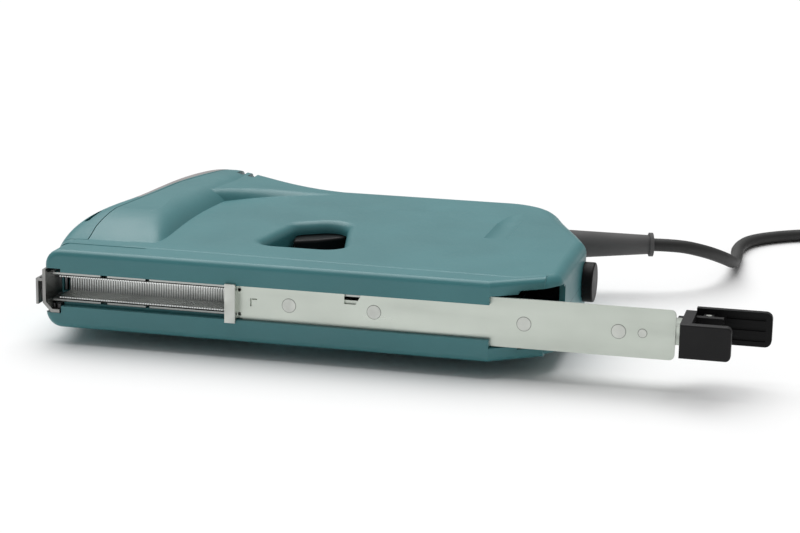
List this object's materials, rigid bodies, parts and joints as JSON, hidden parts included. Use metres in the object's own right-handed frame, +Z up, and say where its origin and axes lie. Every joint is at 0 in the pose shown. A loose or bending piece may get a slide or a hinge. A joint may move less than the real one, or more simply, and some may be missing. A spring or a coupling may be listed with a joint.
{
  "type": "electric stapler",
  "caption": "Corded electric staple gun lying on its side, with a D-shaped grip, a trigger, a magazine slide pulled out at the rear and a rubber-faced drive housing.",
  "frame": {"origin": "centre of the tool's box over the surface it lies on, the free cord left out", "axes": "+X from the nose along the magazine to the rear, +Y from the base to the grip's back, +Z up through the tool's left side as it lies"},
  "size_m": [0.4696, 0.5444, 0.055],
  "materials": {
    "teal_shell": "satin",
    "grey_rubber": "matte",
    "black_plastic": "satin",
    "trigger_plastic": "satin",
    "zinc_steel": "satin",
    "rivet_steel": "satin",
    "nose_steel": "satin",
    "staple_wire": "bright",
    "spring_steel": "satin",
    "screw_steel": "satin",
    "black_steel": "satin",
    "hard_steel": "satin",
    "yoke_steel": "satin",
    "bobbin_plastic": "matte",
    "copper_wire": "bright",
    "bumper_rubber": "matte",
    "switch_plastic": "matte",
    "board_laminate": "matte",
    "board_parts": "satin",
    "sleeve_rubber": "matte",
    "cord_rubber": "matte",
    "plug_plastic": "satin"
  },
  "bodies": {
    "tool": {"housing_left": "teal_shell", "housing_right": "teal_shell", "front_cover": "teal_shell", "front_pad": "grey_rubber", "spine_pad": "grey_rubber", "housing_screws": "screw_steel", "nose_plate": "nose_steel", "front_guard": "nose_steel", "nose_bracket": "black_steel", "magazine_channel": "zinc_steel", "staple_stick": "staple_wire", "base_frame": "zinc_steel", "solenoid_yoke": "yoke_steel", "coil_bobbin": "bobbin_plastic", "coil_winding": "copper_wire", "bumper_strap": "zinc_steel", "plunger_bumper": "bumper_rubber", "return_spring": "spring_steel", "trigger_switch": "switch_plastic", "trigger_spring": "spring_steel", "potentiometer": "switch_plastic", "control_board": "board_laminate", "board_parts": "board_parts", "cord_clamp": "switch_plastic", "strain_relief": "sleeve_rubber", "inner_cord": "cord_rubber", "power_cord": "cord_rubber", "cord_coil": "cord_rubber", "cord_tail": "cord_rubber", "power_plug": "plug_plastic"},
    "driver": {"plunger": "hard_steel", "driver_carrier": "hard_steel", "driver_blade": "hard_steel"},
    "trigger_body": {"trigger": "trigger_plastic"},
    "dial_body": {"force_dial": "black_plastic"},
    "slide_body": {"slide_plate": "zinc_steel", "slide_rivets": "rivet_steel", "stop_bar": "rivet_steel", "core_rail": "zinc_steel", "slide_grip": "black_plastic", "clip_pin": "rivet_steel", "clip_spring": "spring_steel", "pusher_spring": "spring_steel"},
    "pusher_body": {"pusher": "black_steel"},
    "lever_body": {"release_lever": "black_plastic"}
  },
  "joints": [
    {"name": "driver_stroke", "type": "slide", "parent": "tool", "child": "driver", "axis": [0, -1, 0], "range_m": [0, 0.0215], "stiffness_N_per_m": 400, "springref_m": -0.01, "deforming": ["return_spring"]},
    {"name": "trigger_press", "type": "slide", "parent": "tool", "child": "trigger_body", "axis": [0, 1, 0], "range_m": [0, 0.005], "stiffness_N_per_m": 900, "springref_m": -0.003, "deforming": ["trigger_spring"]},
    {"name": "dial_turn", "type": "hinge", "parent": "tool", "child": "dial_body", "pos_m": [0.07876, -0.0038, 0.0275], "axis": [1, 0, 0], "range_deg": [-135, 135]},
    {"name": "magazine_slide", "type": "slide", "parent": "tool", "child": "slide_body", "axis": [1, 0, 0], "range_m": [-0.086, 0]},
    {"name": "pusher_slide", "type": "slide", "parent": "slide_body", "child": "pusher_body", "axis": [1, 0, 0], "range_m": [0, 0.086], "deforming": ["pusher_spring"]},
    {"name": "lever_press", "type": "hinge", "parent": "slide_body", "child": "lever_body", "pos_m": [0.14786, -0.0742, 0.0275], "axis": [0, 0, 1], "range_deg": [-8, 0], "stiffness_Nm_per_rad": 0.6, "springref_deg": 11.46, "deforming": ["clip_spring"]}
  ],
  "couplings": [
    {"joint": "pusher_slide", "follows": "magazine_slide", "ratio": -1}
  ]
}
